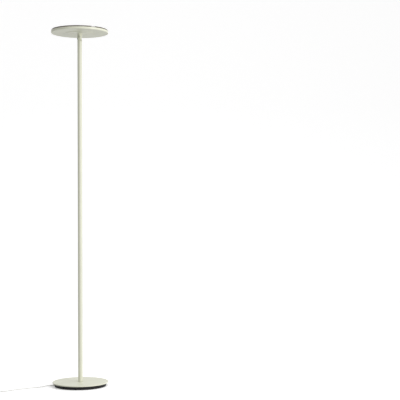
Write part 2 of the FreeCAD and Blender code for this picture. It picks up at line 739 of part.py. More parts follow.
def neck_screws():
    """Screws from inside the head into the knuckle's neck."""
    screws = []
    for y in (-NECK_SCREW_SPREAD, NECK_SCREW_SPREAD):
        screws.append(countersunk_screw(NECK_SCREW_RADIUS, NECK_SCREW_LENGTH, SHELL_FLOOR, 0, y, False))
    return Part.makeCompound(screws)


def head_shell():
    """Pressed steel pan."""
    shell = disc(HEAD_RADIUS, HEAD_LOW, SHELL_TOP)
    shell = shell.makeFillet(SHELL_CORNER, edges_at(shell, HEAD_LOW))
    shell = shell.cut(disc(HEAD_RADIUS - SHELL_WALL, SHELL_FLOOR, SHELL_TOP + 1))
    shell = shell.cut(disc(LEAD_HOLE, HEAD_LOW - 1, SHELL_FLOOR + 1, LEAD_OFFSET))
    for x, y in plate_screw_places():
        shell = shell.cut(disc(PLATE_SCREW_RADIUS, HEAD_LOW - 1, SHELL_FLOOR + 1, x, y))
    for room in neck_screw_rooms():
        shell = shell.cut(room)
    return shell


def glass_seat():
    """Ring inside the shell that carries the glass and makes the wall of the recess."""
    outer = HEAD_RADIUS - SHELL_WALL - SEAT_FIT
    flange = ring(outer, SEAT_INSIDE, SHELL_TOP - SEAT_THICK, SHELL_TOP)
    skirt = ring(SEAT_INSIDE + SEAT_SKIRT, SEAT_INSIDE, SHELL_FLOOR, SHELL_TOP - SEAT_THICK)
    return flange.fuse(skirt).removeSplitter()


def bond_ring():
    """Thin bead of silicone between the glass and its seat."""
    outer = HEAD_RADIUS - SHELL_WALL - SEAT_FIT
    return ring(outer, SEAT_INSIDE + SEAT_SKIRT, SHELL_TOP, GLASS_LOW)


def glass_disc():
    """Smoked glass with ground and polished edges."""
    glass = disc(HEAD_RADIUS - GLASS_INSET, GLASS_LOW, LAMP_HEIGHT)
    return glass.makeChamfer(GLASS_BEVEL, edges_at(glass, LAMP_HEIGHT) + edges_at(glass, GLASS_LOW))


def led_board():
    """White aluminium-core board, drilled for its lead and clear of the plate's screws."""
    top = SHELL_FLOOR + LED_BOARD_THICK
    board = ring(LED_BOARD_RADIUS, LED_BOARD_BORE, SHELL_FLOOR, top)
    for x, y in plate_screw_places():
        board = board.cut(disc(PLATE_SCREW_RADIUS + PLATE_SCREW_ROOM, SHELL_FLOOR - 1, top + 1, x, y))
    for y in (-NECK_SCREW_SPREAD, NECK_SCREW_SPREAD):
        board = board.cut(disc(2 * NECK_SCREW_RADIUS + NECK_SCREW_ROOM, SHELL_FLOOR - 1, top + 1, 0, y))
    return board


def leds():
    """Light-emitting diodes on the board, in rings."""
    low = SHELL_FLOOR + LED_BOARD_THICK
    chips = []
    for radius, count in LED_RINGS:
        for i in range(count):
            chip = block((radius - LED_LENGTH / 2, radius + LED_LENGTH / 2), (-LED_WIDTH / 2, LED_WIDTH / 2),
                         (low, low + LED_HEIGHT))
            chips.append(turned(chip, 360.0 * (i + 0.5) / count))
    return Part.makeCompound(chips)


def reflector_sheet():
    """White reflecting sheet around the board."""
    top = SHELL_FLOOR + REFLECTOR_THICK
    return ring(SEAT_INSIDE - REFLECTOR_GAP, LED_BOARD_RADIUS + REFLECTOR_GAP, SHELL_FLOOR, top)


def led_connector():
    """Terminal where the lead meets the board."""
    length, width, height = CONNECTOR_SIZE
    low = SHELL_FLOOR + LED_BOARD_THICK
    return block((CONNECTOR_AT, CONNECTOR_AT + length), (-width / 2, width / 2), (low, low + height))


def head_lead():
    """Low-voltage lead from the knuckle to the terminal."""
    level = SHELL_FLOOR + LED_BOARD_THICK + LEAD_RADIUS + HEAD_LEAD_RISE
    start = Vector(LEAD_OFFSET, 0, PIVOT_HEIGHT + LEAD_END_GAP)
    bend_low = Vector(LEAD_OFFSET, 0, level - HEAD_LEAD_BEND)
    inside = HEAD_LEAD_BEND * (1 - math.sqrt(0.5))
    bend_middle = Vector(LEAD_OFFSET + inside, 0, level - inside)
    bend_out = Vector(LEAD_OFFSET + HEAD_LEAD_BEND, 0, level)
    path = Part.Wire([
        Part.LineSegment(start, bend_low).toShape(),
        Part.Arc(bend_low, bend_middle, bend_out).toShape(),
        Part.LineSegment(bend_out, Vector(CONNECTOR_AT, 0, level)).toShape(),
    ])
    outline = Part.Wire(Part.makeCircle(LEAD_RADIUS, start, Z_AXIS))
    return path.makePipeShell([outline], True, False)


# Foot switch

def switch_blank(inset, low, high):
    """Rounded block inside the switch's outline."""
    half_x = SWITCH_LENGTH / 2 - inset
    half_y = SWITCH_WIDTH / 2 - inset
    blank = block((SWITCH_X - half_x, SWITCH_X + half_x), (SWITCH_Y - half_y, SWITCH_Y + half_y), (low, high))
    return blank.makeFillet(SWITCH_CORNER - inset, vertical_edges(blank))


def cord_way():
    """The lead's line through the switch."""
    left = Vector(SWITCH_LEFT - 1, SWITCH_Y, SWITCH_SPLIT)
    right = Vector(SWITCH_RIGHT + 1, SWITCH_Y, SWITCH_SPLIT)
    return rod(CORD_RADIUS, left, right)


def switch_screw_places():
    """Where the switch's two screws are."""
    left = (SWITCH_X - SWITCH_SCREW_SPREAD, SWITCH_Y + SWITCH_SCREW_OFFSET)
    right = (SWITCH_X + SWITCH_SCREW_SPREAD, SWITCH_Y - SWITCH_SCREW_OFFSET)
    return (left, right)


def switch_base():
    """Lower half of the switch's case, with bosses for its screws."""
    case = switch_blank(0, 0, SWITCH_SPLIT)
    bottom_edges = [edge for edge in case.Edges if edge.BoundBox.ZMax < 1e-6]
    case = case.makeFillet(SWITCH_FOOT_EDGE, bottom_edges)
    case = case.cut(switch_blank(SWITCH_WALL, SWITCH_WALL, SWITCH_SPLIT + 1))
    for x, y in switch_screw_places():
        case = case.fuse(disc(SWITCH_BOSS, SWITCH_WALL - 1, SWITCH_SPLIT, x, y))
        case = case.cut(screw_hole(SWITCH_SCREW_RADIUS, SWITCH_SPLIT + 1, SWITCH_SCREW_SUNK, x, y))
        case = case.cut(disc(SWITCH_SCREW_RECESS, -1, SWITCH_SCREW_SUNK, x, y))
    return case.cut(cord_way()).removeSplitter()


def switch_cover():
    """Upper half of the switch's case, with a round opening for the button."""
    case = switch_blank(0, SWITCH_SPLIT, SWITCH_HEIGHT)
    top_edges = [edge for edge in case.Edges if edge.BoundBox.ZMin > SWITCH_HEIGHT - 1e-6]
    case = case.makeFillet(SWITCH_EDGE, top_edges)
    case = case.cut(switch_blank(SWITCH_WALL, SWITCH_SPLIT - 1, SWITCH_HEIGHT - SWITCH_WALL))
    case = case.cut(disc(BUTTON_RADIUS + BUTTON_GAP, SWITCH_SPLIT, SWITCH_HEIGHT + 1, SWITCH_X, SWITCH_Y))
    for x, y in switch_screw_places():
        post = disc(SWITCH_BOSS, SWITCH_SPLIT, SWITCH_HEIGHT - SWITCH_WALL / 2, x, y)
        hole = disc(SWITCH_SCREW_RADIUS, SWITCH_SPLIT - 1, SWITCH_SPLIT + SWITCH_SCREW_DEEP, x, y)
        case = case.fuse(post).cut(hole)
    return case.cut(cord_way()).removeSplitter()


def switch_button():
    """Round foot button with a lip inside the cover and a stem over the contacts."""
    lip_top = SWITCH_HEIGHT - SWITCH_WALL - BUTTON_LIP_GAP
    lip_low = lip_top - BUTTON_LIP_THICK
    top = SWITCH_HEIGHT + BUTTON_STAND
    cap = disc(BUTTON_RADIUS, lip_low, top, SWITCH_X, SWITCH_Y)
    cap = cap.makeFillet(BUTTON_EDGE, edges_at(cap, top))
    cap = cap.cut(disc(BUTTON_RADIUS - BUTTON_WALL, lip_low - 1, top - BUTTON_WALL, SWITCH_X, SWITCH_Y))
    lip = ring(BUTTON_RADIUS + BUTTON_LIP, BUTTON_RADIUS - BUTTON_WALL, lip_low, lip_top, SWITCH_X, SWITCH_Y)
    stem_low = SWITCH_WALL + SWITCH_BLOCK[2] + BUTTON_TRAVEL + BUTTON_LIP_GAP
    stem = disc(BUTTON_STEM, stem_low, top - BUTTON_WALL / 2, SWITCH_X, SWITCH_Y)
    return cap.fuse(lip).fuse(stem).removeSplitter()


def switch_contacts():
    """Contact block under the button."""
    length, width, height = SWITCH_BLOCK
    return block((SWITCH_X - length / 2, SWITCH_X + length / 2), (SWITCH_Y - width / 2, SWITCH_Y + width / 2),
                 (SWITCH_WALL, SWITCH_WALL + height))


def button_spring():
    """Spring between the contact block and the button, as the sleeve that its turns fill."""
    low = SWITCH_WALL + SWITCH_BLOCK[2] + SPRING_GAP
    high = SWITCH_HEIGHT + BUTTON_STAND - BUTTON_WALL - SPRING_GAP
    return ring(SPRING_RADIUS, SPRING_RADIUS - SPRING_WIRE, low, high, SWITCH_X, SWITCH_Y)


def switch_screws():
    """Countersunk screws that hold the two halves together."""
    screws = []
    for x, y in switch_screw_places():
        length = SWITCH_SPLIT + SWITCH_SCREW_REACH
        screws.append(countersunk_screw(SWITCH_SCREW_RADIUS, length, SWITCH_SCREW_SUNK, x, y))
    return Part.makeCompound(screws)


# Coil of spare lead, tie and plug

def cord_coil():
    """Outer shape of the wound spare lead."""
    coil = ring(COIL_OUTER, COIL_INNER, 0, COIL_HEIGHT, COIL_X, COIL_Y)
    return coil.makeFillet(COIL_EDGE, edges_at(coil, COIL_HEIGHT) + edges_at(coil, 0))


def cord_tie():
    """Flat tie around one side of the coil."""
    low_x = COIL_X - COIL_OUTER
    high_x = COIL_X - COIL_INNER + TIE_SLACK
    half = TIE_WIDTH / 2
    outer = block((low_x - TIE_THICK, high_x + TIE_THICK), (COIL_Y - half, COIL_Y + half),
                  (0, COIL_HEIGHT + TIE_THICK))
    inner = block((low_x, high_x), (COIL_Y - half - 1, COIL_Y + half + 1), (-1, COIL_HEIGHT))
    return outer.cut(inner)


def plug_body():
    """Flat two-pin plug, lying on its side, with a tapered sleeve on the lead."""
    level = PLUG_THICK / 2
    start = PLUG_RELIEF_START + PLUG_RELIEF_LENGTH
    end = start + PLUG_LENGTH
    half = PLUG_WIDTH / 2
    nose = PLUG_NOSE / 2
    neck = PLUG_NECK / 2
    side = ((start, neck), (start + PLUG_SHOULDER, half), (end - PLUG_TAPER, half), (end, nose))
    corners = [Vector(x, PLUG_Y - y, 0) for x, y in side]
    corners += [Vector(x, PLUG_Y + y, 0) for x, y in reversed(side)]
    body = Part.Face(Part.makePolygon(corners + corners[:1])).extrude(Vector(0, 0, PLUG_THICK))
    body = body.makeFillet(PLUG_CORNER, vertical_edges(body))
    rim = [edge for edge in body.Edges if edge.BoundBox.ZLength < 1e-6]
    body = body.makeFillet(PLUG_EDGE, rim)
    tip = Vector(PLUG_RELIEF_START, PLUG_Y, level)
    sleeve = Part.makeCone(RELIEF_TIP, PLUG_RELIEF_ROOT, PLUG_RELIEF_LENGTH + PLUG_RELIEF_SUNK, tip, X_AXIS)
    body = body.fuse(sleeve)
    return body.cut(plug_pins())


def plug_pins():
    """Both pins of the plug, with thinner roots moulded into its body."""
    level = PLUG_THICK / 2
    face = PLUG_RELIEF_START + PLUG_RELIEF_LENGTH + PLUG_LENGTH
    pins = []
    for side in (-1, 1):
        y = PLUG_Y + side * PIN_SPACING / 2
        pin = rod(PIN_RADIUS, Vector(face, y, level), Vector(face + PIN_LENGTH, y, level))
        tip = [edge for edge in pin.Edges if edge.BoundBox.XMin > face + PIN_LENGTH - 1e-6]
        pin = pin.makeFillet(PIN_TIP, tip)
        pins.append(pin.fuse(rod(PIN_ROOT_RADIUS, Vector(face - PIN_ROOT, y, level), Vector(face, y, level))))
    return Part.makeCompound(pins)


save(base_cover(), "base_cover")
save(base_weight(), "base_weight")
save(base_tray(), "base_tray")
save(tray_screws(), "tray_screws")
save(rubber_feet(), "rubber_feet")
save(strain_relief(), "strain_relief")
save(mains_lead_inner(), "mains_lead_inner")
save(driver_case(), "driver_case")
save(driver_plate(), "driver_plate")
save(driver_board(), "driver_board")
save(base_stud(), "base_stud")
save(base_nut(), "base_nut")
save(base_lock_washer(), "base_lock_washer")
save(base_washer(), "base_washer")
save(pole_foot(), "pole_foot")
for index in range(POLE_SECTIONS):
    save(pole_section(index), "pole_section_%d" % (index + 1))
for index in range(1, POLE_SECTIONS):
    save(pole_coupling(index), "pole_coupling_%d" % index)
save(pole_lead(), "pole_lead")
save(knuckle_lower(), "knuckle_lower")
save(knuckle_upper(), "knuckle_upper")
save(friction_washer(), "friction_washer")
save(pivot_screw(), "pivot_screw")
save(spring_washer(), "spring_washer")
save(pivot_nut(), "pivot_nut")
save(pivot_cap(), "pivot_cap")
save(head_plate(), "head_plate")
save(plate_screws(), "plate_screws")
save(neck_screws(), "neck_screws")
save(head_shell(), "head_shell")
save(glass_seat(), "glass_seat")
save(bond_ring(), "bond_ring")
save(glass_disc(), "glass_disc")
save(led_board(), "led_board")
save(leds(), "leds")
save(reflector_sheet(), "reflector_sheet")
save(led_connector(), "led_connector")
save(head_lead(), "head_lead")
save(tube(CORD_TO_SWITCH, CORD_RADIUS, "mains_cord"), "mains_cord")
save(switch_base(), "switch_base")
save(switch_cover(), "switch_cover")
save(switch_button(), "switch_button")
save(switch_contacts(), "switch_contacts")
save(button_spring(), "button_spring")
save(switch_screws(), "switch_screws")
save(tube(CORD_TO_COIL, CORD_RADIUS, "mains_cord_tail"), "mains_cord_tail")
save(cord_coil(), "mains_cord_coil")
save(cord_tie(), "cord_tie")
save(tube(CORD_TO_PLUG, CORD_RADIUS, "mains_cord_end"), "mains_cord_end")
save(plug_body(), "plug_body")
save(plug_pins(), "plug_pins")
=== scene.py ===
"""Torchiere floor lamp: looks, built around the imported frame.

Metres, +Z up, the origin on the floor on the pole's axis. The lead leaves the base towards -X.
"""
import math

import bmesh
import bpy
from mathutils import Matrix, Vector


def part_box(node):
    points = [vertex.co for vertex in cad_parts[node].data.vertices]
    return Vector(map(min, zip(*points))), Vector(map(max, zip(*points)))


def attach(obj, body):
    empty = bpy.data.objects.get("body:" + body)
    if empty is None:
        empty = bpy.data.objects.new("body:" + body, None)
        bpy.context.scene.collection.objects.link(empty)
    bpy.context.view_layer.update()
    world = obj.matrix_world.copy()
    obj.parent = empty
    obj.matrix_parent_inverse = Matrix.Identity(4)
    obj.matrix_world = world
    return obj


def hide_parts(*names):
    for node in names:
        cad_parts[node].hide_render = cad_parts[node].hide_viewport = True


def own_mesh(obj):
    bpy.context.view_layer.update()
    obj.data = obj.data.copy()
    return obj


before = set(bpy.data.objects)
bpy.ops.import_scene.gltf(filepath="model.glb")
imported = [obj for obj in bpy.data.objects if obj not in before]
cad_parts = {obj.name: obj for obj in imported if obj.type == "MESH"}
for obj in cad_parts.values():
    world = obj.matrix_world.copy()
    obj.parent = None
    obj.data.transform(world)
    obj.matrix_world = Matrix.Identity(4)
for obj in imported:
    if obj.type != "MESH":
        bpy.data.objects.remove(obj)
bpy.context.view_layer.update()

# Camera: just below the middle of the lamp, five metres in front of it, with a long lens.
# It looks past the lamp to the right, so the lamp stands left of the middle.
camera_distance = 5.067
camera_height = 0.868
look_right = math.radians(6.712)
look_up = math.radians(0.517)
roll = math.radians(-0.188)
camera_data = bpy.data.cameras.new("camera")
camera_data.lens = 91.75
camera_data.sensor_width = 36.0
camera = bpy.data.objects.new("camera", camera_data)
bpy.context.scene.collection.objects.link(camera)
aim = Matrix.Rotation(-look_right, 4, "Z") @ Matrix.Rotation(math.pi / 2 + look_up, 4, "X")
stand_point = Matrix.Translation((0, -camera_distance, camera_height))
camera.matrix_world = stand_point @ aim @ Matrix.Rotation(roll, 4, "Z")
bpy.context.scene.camera = camera
bpy.context.scene.view_settings.view_transform = "Standard"


def linear(code):
    """sRGB hex value to a linear colour."""
    channels = [int(code[i:i + 2], 16) / 255 for i in (1, 3, 5)]
    return tuple(c / 12.92 if c <= 0.04045 else ((c + 0.055) / 1.055) ** 2.4 for c in channels) + (1.0,)


def add_node(material, kind, settings=(), **inputs):
    """Add a shader node: settings are its properties, inputs are values or sockets, by name or as i and number."""
    node = material.node_tree.nodes.new(kind)
    for name, value in dict(settings).items():
        setattr(node, name, value)
    for name, value in inputs.items():
        socket = node.inputs[int(name[1:]) if name[1:].isdigit() else name.replace("_", " ")]
        if isinstance(value, bpy.types.NodeSocket):
            material.node_tree.links.new(value, socket)
        else:
            socket.default_value = value
    return node


def new_material(name):
    """Node material with nothing in it."""
    material = bpy.data.materials.new(name)
    material.use_nodes = True
    material.node_tree.nodes.clear()
    return material


def finish(name, light, dark, roughness, metallic=0.0, patch=0.03, grain=0.0005, depth=0.00001,
           **shader_inputs):
    """Surface whose colour drifts between two tones over patches, with a fine grain in its gloss and height."""
    material = new_material(name)
    place = add_node(material, "ShaderNodeTexCoord").outputs["Object"]
    drift = add_node(material, "ShaderNodeTexNoise", Vector=place, Scale=1 / patch, Detail=5.0)
    spread = add_node(material, "ShaderNodeMapRange", i0=drift.outputs["Fac"], i1=0.3, i2=0.7)
    tone = add_node(material, "ShaderNodeMix", {"data_type": "RGBA"}, i0=spread.outputs[0],
                    i6=linear(dark), i7=linear(light))
    fine = add_node(material, "ShaderNodeTexNoise", Vector=place, Scale=1 / grain, Detail=2.0)
    gloss = add_node(material, "ShaderNodeMapRange", i0=fine.outputs["Fac"], i1=0.25, i2=0.75,
                     i3=roughness[0], i4=roughness[1])
    bump = add_node(material, "ShaderNodeBump", Height=fine.outputs["Fac"], Distance=depth, Strength=1.0)
    shader = add_node(material, "ShaderNodeBsdfPrincipled", Base_Color=tone.outputs[2],
                      Roughness=gloss.outputs[0], Normal=bump.outputs[0], Metallic=metallic, **shader_inputs)
    add_node(material, "ShaderNodeOutputMaterial", Surface=shader.outputs[0])
    return material


# Studio: a seamless white paper floor that turns up into a wall far behind. The paper is lit evenly from
# behind as well, so that it stays white, and it throws no light of its own on the lamp.
floor_half = 6.0
bend_radius = 2.0
wall_height = 5.0
paper = new_material("studio_paper")
fibres = add_node(paper, "ShaderNodeTexNoise", Scale=180.0, Detail=3.0,
                  Vector=add_node(paper, "ShaderNodeTexCoord").outputs["Object"])
paper_tone = add_node(paper, "ShaderNodeMapRange", i0=fibres.outputs["Fac"], i3=0.90, i4=0.92)
paper_shader = add_node(paper, "ShaderNodeBsdfPrincipled", Base_Color=paper_tone.outputs[0], Roughness=0.9,
                        Emission_Color=linear("#FFFFFF"), Emission_Strength=0.30)
add_node(paper, "ShaderNodeOutputMaterial", Surface=paper_shader.outputs[0])
sheet = bmesh.new()
front = [sheet.verts.new((x, -floor_half - 2, 0)) for x in (-floor_half, floor_half)]
back = bmesh.ops.extrude_edge_only(sheet, edges=[sheet.edges.new(front)])["geom"]
far_side = [v for v in back if isinstance(v, bmesh.types.BMVert)]
bmesh.ops.translate(sheet, verts=far_side, vec=(0, 2 * floor_half, 0))
top_edge = [e for e in back if isinstance(e, bmesh.types.BMEdge)]
turned_up = bmesh.ops.spin(sheet, geom=top_edge + [v for e in top_edge for v in e.verts], axis=(1, 0, 0),
                           angle=math.pi / 2, steps=24, cent=(0, floor_half - 2, bend_radius))["geom_last"]
wall_foot = [e for e in turned_up if isinstance(e, bmesh.types.BMEdge)]
wall = bmesh.ops.extrude_edge_only(sheet, edges=wall_foot)["geom"]
wall_top = [v for v in wall if isinstance(v, bmesh.types.BMVert)]
bmesh.ops.translate(sheet, verts=wall_top, vec=(0, 0, wall_height))
bmesh.ops.recalc_face_normals(sheet, faces=sheet.faces)
floor_mesh = bpy.data.meshes.new("studio_floor")
sheet.to_mesh(floor_mesh)
sheet.free()
floor_mesh.shade_smooth()
floor_mesh.materials.append(paper)
floor = bpy.data.objects.new("studio_floor", floor_mesh)
floor.visible_diffuse = False
bpy.context.scene.collection.objects.link(floor)

# Soft light from a pale room that is brighter on the right and above, and dim on the left. Seen past the paper,
# the room is plain white.
bright_side = Vector((0.86, -0.32, 0.40))
world = bpy.data.worlds.new("studio")
world.use_nodes = True
world.node_tree.nodes.clear()
direction = add_node(world, "ShaderNodeTexCoord").outputs["Generated"]
facing = add_node(world, "ShaderNodeVectorMath", {"operation": "DOT_PRODUCT"}, i0=direction, i1=bright_side)
strength = add_node(world, "ShaderNodeMapRange", i0=facing.outputs["Value"], i1=-1.0, i2=1.0, i3=0.30, i4=0.98)
seen = add_node(world, "ShaderNodeLightPath").outputs["Is Camera Ray"]
plain = add_node(world, "ShaderNodeMapRange", i0=seen, i3=strength.outputs[0], i4=1.0)
sky = add_node(world, "ShaderNodeBackground", Color=linear("#FFFFFF"), Strength=plain.outputs[0])
add_node(world, "ShaderNodeOutputWorld", Surface=sky.outputs[0])
bpy.context.scene.world = world


def soft_light(name, place, target, width, height, watts):
    """Large rectangular light that faces a point."""
    data = bpy.data.lights.new(name, "AREA")
    data.shape = "RECTANGLE"
    data.size = width
    data.size_y = height
    data.energy = watts
    light = bpy.data.objects.new(name, data)
    bpy.context.scene.collection.objects.link(light)
    facing_target = (Vector(target) - Vector(place)).to_track_quat("-Z", "Y").to_matrix().to_4x4()
    light.matrix_world = Matrix.Translation(place) @ facing_target


soft_light("right_light", (2.8, -2.0, 1.4), (0, 0, 0.9), 0.9, 2.6, 52)
soft_light("top_light", (0.9, 0.2, 4.2), (0, 0, 0), 2.0, 2.0, 26)


# Base plate: a round plate of 1.2 mm sheet steel with its rim pressed down, the edge rolled over a radius.
# Powder coated in cream; the threaded tube passes through a hole in its middle.
mm = 0.001


def turned(outline, steps=128, middle=(0, 0), mesh=None):
    """Turn a closed outline of (radius, height, corner radius) points round an upright axis."""
    whole = mesh or bmesh.new()
    part = bmesh.new()
    corners = [part.verts.new((radius, 0, height)) for radius, height, rounding in outline]
    for i, corner in enumerate(corners):
        part.edges.new((corners[i - 1], corner))
    for corner, point in zip(corners, outline):
        if point[2]:
            bmesh.ops.bevel(part, geom=[corner], offset=point[2], offset_type="OFFSET", segments=4, profile=0.5,
                            affect="VERTICES", material=-1, clamp_overlap=False)
    bmesh.ops.spin(part, geom=part.verts[:] + part.edges[:], cent=(0, 0, 0), axis=(0, 0, 1), angle=2 * math.pi,
                   steps=steps, use_merge=True)
    bmesh.ops.remove_doubles(part, verts=part.verts, dist=0.001 * mm)
    bmesh.ops.dissolve_degenerate(part, edges=part.edges, dist=0.001 * mm)
    bmesh.ops.recalc_face_normals(part, faces=part.faces)
    bmesh.ops.translate(part, verts=part.verts, vec=(middle[0], middle[1], 0))
    gathered = bpy.data.meshes.new("turned_part")
    part.to_mesh(gathered)
    part.free()
    whole.from_mesh(gathered)
    bpy.data.meshes.remove(gathered)
    return whole


def add_piece(name, mesh, materials, body, stands_for=(), rounding=0.0, segments=2):
    """Make a finished piece of a mesh: smooth, with flat faces kept flat, riding on its body."""
    data = bpy.data.meshes.new(name)
    mesh.to_mesh(data)
    mesh.free()
    data.shade_smooth()
    data.set_sharp_from_angle(angle=math.radians(40))
    for material in materials:
        data.materials.append(material)
    piece = bpy.data.objects.new(name, data)
    bpy.context.scene.collection.objects.link(piece)
    if rounding:
        bevel = piece.modifiers.new("broken_edges", "BEVEL")
        bevel.width = rounding
        bevel.segments = segments
        bevel.limit_method = "ANGLE"
        bevel.angle_limit = math.radians(40)
    weighted = piece.modifiers.new("flat_faces", "WEIGHTED_NORMAL")
    weighted.keep_sharp = True
    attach(piece, body)
    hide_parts(*stands_for)
    return piece


# Cream polyester powder, sprayed and baked: satin, with a faint orange peel about 1.5 mm wide.
powder_coat = finish("cream_powder_coat", "#DADBC8", "#D5D6C3", (0.38, 0.46), patch=90 * mm, grain=1.5 * mm,
                     depth=0.012 * mm)
cover_low, cover_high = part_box("base_cover")
sheet_steel = 1.2 * mm
stud_radius = 5 * mm
cover_under = cover_high.z - sheet_steel
cover = turned((
    (stud_radius, cover_under, 0),
    (cover_high.x - sheet_steel, cover_under, 0.8 * mm),
    (cover_high.x - sheet_steel, cover_low.z, 0.3 * mm),
    (cover_high.x, cover_low.z, 0.5 * mm),
    (cover_high.x, cover_high.z, 1.7 * mm),
    (stud_radius, cover_high.z, 0.2 * mm)), 192)
add_piece("base_plate", cover, [powder_coat], "stand", ["base_cover"])


# Inside the base: a cast-iron disc for weight, the threaded tube that draws the pole down on it with a nut and
# two washers, and the driver in a slot of the casting. They keep the frame's own shapes.
def dress(material, *nodes):
    """Give frame nodes that keep their own shape a finish."""
    for node in nodes:
        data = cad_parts[node].data
        data.materials.clear()
        data.materials.append(material)


# Grey iron from a sand mould: dull, with grains of about a millimetre.
cast_iron = finish("grey_cast_iron", "#4C4A47", "#35332F", (0.62, 0.78), 0.7, patch=8 * mm, grain=1.1 * mm,
                   depth=0.12 * mm)
dress(cast_iron, "base_weight")
# Steel with a bright zinc plate, passivated: bluish silver with soft cloudy spots.
zinc_plate = finish("zinc_plated_steel", "#BDBFC0", "#A3A7AA", (0.26, 0.40), 1.0, patch=3 * mm, grain=0.3 * mm,
                    depth=0.006 * mm)
dress(zinc_plate, "base_stud", "base_nut", "base_lock_washer", "base_washer", "pole_foot", "pole_coupling_1",
      "pole_coupling_2", "spring_washer", "pivot_nut", "neck_screws", "switch_screws")
# White ABS from a fine-eroded mould, a little gloss left on it.
white_abs = finish("white_moulded_abs", "#E9E7DF", "#E3E1D8", (0.34, 0.46), patch=40 * mm, grain=0.45 * mm,
                   depth=0.012 * mm, Subsurface_Weight=0.08, Subsurface_Scale=1.5 * mm)
dress(white_abs, "driver_case", "driver_plate", "led_connector")
# Glass-epoxy board under green solder mask.
green_board = finish("green_solder_mask", "#1F6B3C", "#174F2D", (0.20, 0.32), patch=5 * mm, grain=0.8 * mm,
                     depth=0.01 * mm)
dress(green_board, "driver_board")


# Foot tray: a black polypropylene moulding that closes the base from below and makes its dark foot ring. It has
# a shallow channel for its four screws, raised collars that hold the six rubber feet, and a lip all round that
# reaches almost to the floor.
tray_low, tray_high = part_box("base_tray")
tray_wall = 2.4 * mm
tray_floor = 2.0 * mm
under = tray_low.z
tray = turned((
    (0, under + tray_floor, 0),
    (0, under, 0),
    (30 * mm, under, 0),
    (30.8 * mm, under + 0.6 * mm, 0),
    (33 * mm, under + 0.6 * mm, 0),
    (33.8 * mm, under, 0),
    (86.5 * mm, under, 0),
    (87 * mm, under + 0.4 * mm, 0),
    (97 * mm, under + 0.4 * mm, 0),
    (97.5 * mm, under, 0),
    (122.6 * mm, under, 0),
    (123.2 * mm, 0.4 * mm, 0.2 * mm),
    (tray_high.x, 0.4 * mm, 0.6 * mm),
    (tray_high.x, tray_high.z, 0.3 * mm),
    (tray_high.x - tray_wall, tray_high.z, 0.3 * mm),
    (tray_high.x - tray_wall, under + tray_floor, 0.8 * mm)), 192)
exit_turn = math.radians(8)
foot_circle = 112 * mm
foot_radius = 8 * mm
foot_turns = [exit_turn + i * math.pi / 3 for i in range(6)]
foot_places = [(foot_circle * math.cos(turn), foot_circle * math.sin(turn)) for turn in foot_turns]
collar_inside = foot_radius + 0.2 * mm
for place in foot_places:
    turned((
        (collar_inside, under + 0.5 * mm, 0),
        (collar_inside, under - 0.6 * mm, 0.2 * mm),
        (foot_radius + 1.6 * mm, under - 0.6 * mm, 0.3 * mm),
        (foot_radius + 2.1 * mm, under + 0.5 * mm, 0)), 48, place, tray)
# Black polypropylene with an eroded texture: dark, slightly sheeny, its grain about half a millimetre.
black_pp = finish("black_moulded_polypropylene", "#0E0D0B", "#080807", (0.50, 0.64), patch=50 * mm,
                  grain=0.6 * mm, depth=0.03 * mm, Specular_IOR_Level=0.28)
add_piece("foot_tray", tray, [black_pp], "stand", ["base_tray"])

# Rubber feet: six round pads, let into the tray, each with a shallow ring that grips the floor.
feet = bmesh.new()
foot_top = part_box("rubber_feet")[1].z
for place in foot_places:
    turned((
        (0, foot_top, 0),
        (0, 0, 0),
        (4.6 * mm, 0, 0),
        (4.9 * mm, 0.3 * mm, 0),
        (5.9 * mm, 0.3 * mm, 0),
        (6.2 * mm, 0, 0),
        (foot_radius, 0, 0.4 * mm),
        (foot_radius, foot_top, 0)), 48, place, feet)
# Moulded rubber: matt, nearly black, with a fine bloom.
soft_rubber = finish("black_rubber", "#222224", "#19191A", (0.72, 0.86), patch=10 * mm, grain=0.35 * mm,
                     depth=0.02 * mm)
add_piece("feet", feet, [soft_rubber], "stand", ["rubber_feet"])


# Tray screws: countersunk cross-head screws of zinc-plated steel. Screws and other small turned or milled
# pieces are the frame's own shapes, merged, with their sharp edges broken as a real part's are.
def eased(node, name, material, body, rounding):
    """Copy of a frame node with its edges broken."""
    mesh = bmesh.new()
    mesh.from_mesh(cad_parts[node].data)
    bmesh.ops.remove_doubles(mesh, verts=mesh.verts, dist=0.001 * mm)
    bmesh.ops.dissolve_limit(mesh, angle_limit=math.radians(0.5), verts=mesh.verts, edges=mesh.edges)
    return add_piece(name, mesh, [material], body, [node], rounding)


eased("tray_screws", "tray_fixing_screws", zinc_plate, "stand", 0.12 * mm)


# Strain relief: a ribbed, tapered sleeve of soft clear PVC moulded on the lead; it holds the lead in the tray's
# wall and keeps it from bending sharply. The plug has one of the same kind.
lead_diameter = 5.5 * mm


